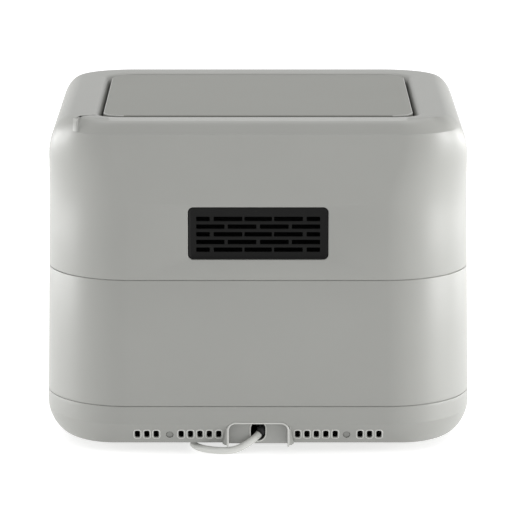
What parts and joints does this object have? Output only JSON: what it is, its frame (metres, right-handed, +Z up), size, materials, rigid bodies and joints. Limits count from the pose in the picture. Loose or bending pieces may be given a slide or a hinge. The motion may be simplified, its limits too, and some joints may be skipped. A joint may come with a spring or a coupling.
{
  "type": "air fryer",
  "caption": "Wide countertop air fryer: rounded casing with a floating top panel, rear exhaust grille, corded base, one front drawer under two fan heaters, dial control.",
  "frame": {"origin": "middle of the object's box, without the free cord, at the bottom of the feet", "axes": "+Z up, the drawer and controls face -Y, the exhaust and cord outlet face +Y, +X to the left as seen from behind"},
  "size_m": [0.409, 0.481, 0.324],
  "materials": {
    "shell": "fine-grained satin moulded plastic, warm grey",
    "panel": "smooth satin plastic, warm grey",
    "black": "satin black moulded plastic",
    "glass": "gloss black control panel",
    "steel": "sheet steel",
    "coated": "dark non-stick coated steel",
    "rubber": "matt black rubber",
    "motor": "plated motor case",
    "board": "green circuit board",
    "cord": "matt pale grey flexible sheath",
    "white": "white moulded plastic",
    "brass": "nickel-plated brass"
  },
  "bodies": {
    "housing": {"base_cover": "shell", "cord_outlet_frame": "shell", "cord_gland": "rubber", "lower_housing": "shell", "upper_housing": "shell", "top_frame": "shell", "intake_deck": "black", "top_panel": "panel", "exhaust_grille": "black", "exhaust_duct": "steel", "cavity_liner": "steel", "cavity_ceiling": "steel", "cavity_bezel": "steel", "drawer_runner_left": "steel", "drawer_runner_right": "steel", "interlock_switch": "black", "temperature_probe": "steel", "power_board": "board", "transformer": "motor", "control_glass": "glass", "control_board": "board", "dial_hub": "black", "foot_back_left": "rubber", "foot_back_right": "rubber", "foot_front_left": "rubber", "foot_front_right": "rubber", "screw_plug_left": "shell", "screw_plug_right": "shell", "cord_tube": "cord", "cord_coil": "cord", "plug_body": "cord", "plug_blade_live": "brass", "plug_blade_neutral": "brass", "plug_earth_pin": "brass", "heater_guard_left": "steel", "heating_element_left": "steel", "heater_dome_left": "steel", "motor_bracket_left": "steel", "fan_motor_left": "motor", "heater_guard_right": "steel", "heating_element_right": "steel", "heater_dome_right": "steel", "motor_bracket_right": "steel", "fan_motor_right": "motor"},
    "drawer": {"drawer_front": "shell", "drawer_front_liner": "coated", "drawer_tub": "coated", "drawer_handle": "black"},
    "crisper_left": {"crisper_plate_left": "coated"},
    "crisper_right": {"crisper_plate_right": "coated"},
    "rotor_left": {"motor_shaft_left": "steel", "hot_fan_left": "steel", "cooling_fan_left": "black"},
    "rotor_right": {"motor_shaft_right": "steel", "hot_fan_right": "steel", "cooling_fan_right": "black"},
    "dial": {"dial": "steel"},
    "start_button": {"start_button": "black"},
    "interlock_plunger": {"interlock_plunger": "white"}
  },
  "joints": [
    {"name": "drawer_slide", "type": "slide", "parent": "housing", "child": "drawer", "axis": [0, -1, 0], "range_m": [0, 0.25]},
    {"name": "crisper_left_lift", "type": "slide", "parent": "drawer", "child": "crisper_left", "axis": [0, 0, 1], "range_m": [0, 0.085]},
    {"name": "crisper_right_lift", "type": "slide", "parent": "drawer", "child": "crisper_right", "axis": [0, 0, 1], "range_m": [0, 0.085]},
    {"name": "fan_spin_left", "type": "hinge", "parent": "housing", "child": "rotor_left", "pos_m": [0.085, 0.019, 0.194], "axis": [0, 0, 1], "continuous": true},
    {"name": "fan_spin_right", "type": "hinge", "parent": "housing", "child": "rotor_right", "pos_m": [-0.085, 0.019, 0.194], "axis": [0, 0, 1], "continuous": true},
    {"name": "dial_turn", "type": "hinge", "parent": "housing", "child": "dial", "pos_m": [0, -0.164, 0.224], "axis": [0, -1, 0], "continuous": true},
    {"name": "start_button_press", "type": "slide", "parent": "housing", "child": "start_button", "axis": [0, 1, 0], "range_m": [0, 0.0015], "stiffness_N_per_m": 600},
    {"name": "interlock_press", "type": "slide", "parent": "housing", "child": "interlock_plunger", "axis": [0, 1, 0], "range_m": [0, 0.0012], "stiffness_N_per_m": 300}
  ]
}
